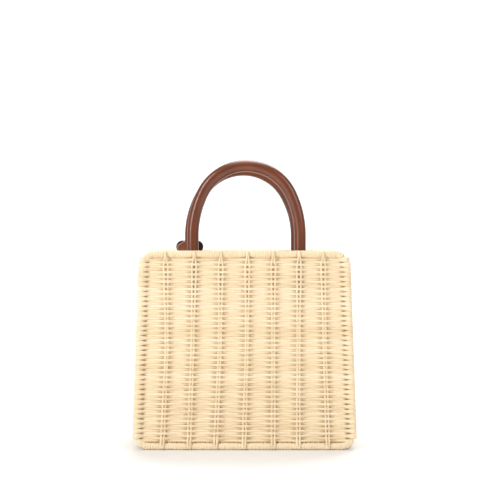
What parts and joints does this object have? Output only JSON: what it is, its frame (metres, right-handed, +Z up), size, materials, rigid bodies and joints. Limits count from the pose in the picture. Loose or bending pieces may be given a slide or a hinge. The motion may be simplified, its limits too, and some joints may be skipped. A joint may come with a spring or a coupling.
{
  "type": "basket box bag",
  "caption": "Open-topped box handbag of plain-woven cane on two wrapped rod frames, with a pair of rolled leather handles that lean in and out above their sewn-down ends.",
  "frame": {"origin": "on the table under the middle of the basket", "axes": "+Z up, the front wall faces -Y, +X to the right seen from the front"},
  "size_m": [0.2188, 0.1006, 0.2843],
  "materials": {
    "wrapped_cane": "satin",
    "woven_cane": "satin",
    "rolled_leather": "semi-gloss",
    "tab_leather": "satin",
    "cotton_rope": "matte"
  },
  "bodies": {
    "basket": {"front_frame": "wrapped_cane", "rear_frame": "wrapped_cane", "left_top_rail": "wrapped_cane", "right_top_rail": "wrapped_cane", "front_weave": "woven_cane", "rear_weave": "woven_cane", "left_side_weave": "woven_cane", "right_side_weave": "woven_cane", "base_weave": "woven_cane", "front_left_leg_end": "rolled_leather", "front_right_leg_end": "rolled_leather", "rear_left_leg_end": "rolled_leather", "rear_right_leg_end": "rolled_leather", "front_left_tab": "tab_leather", "front_right_tab": "tab_leather", "rear_left_tab": "tab_leather", "rear_right_tab": "tab_leather", "front_left_backing": "tab_leather", "front_right_backing": "tab_leather", "rear_left_backing": "tab_leather", "rear_right_backing": "tab_leather"},
    "front_handle": {"front_handle_cover": "rolled_leather", "front_handle_core": "cotton_rope"},
    "rear_handle": {"rear_handle_cover": "rolled_leather", "rear_handle_core": "cotton_rope"}
  },
  "joints": [
    {"name": "front_handle_lean", "type": "hinge", "parent": "basket", "child": "front_handle", "pos_m": [0.0019, -0.03335, 0.2075], "axis": [1, 0, 0], "range_deg": [-22, 40]},
    {"name": "rear_handle_lean", "type": "hinge", "parent": "basket", "child": "rear_handle", "pos_m": [-0.001, 0.03335, 0.2075], "axis": [-1, 0, 0], "range_deg": [-22, 40]}
  ]
}
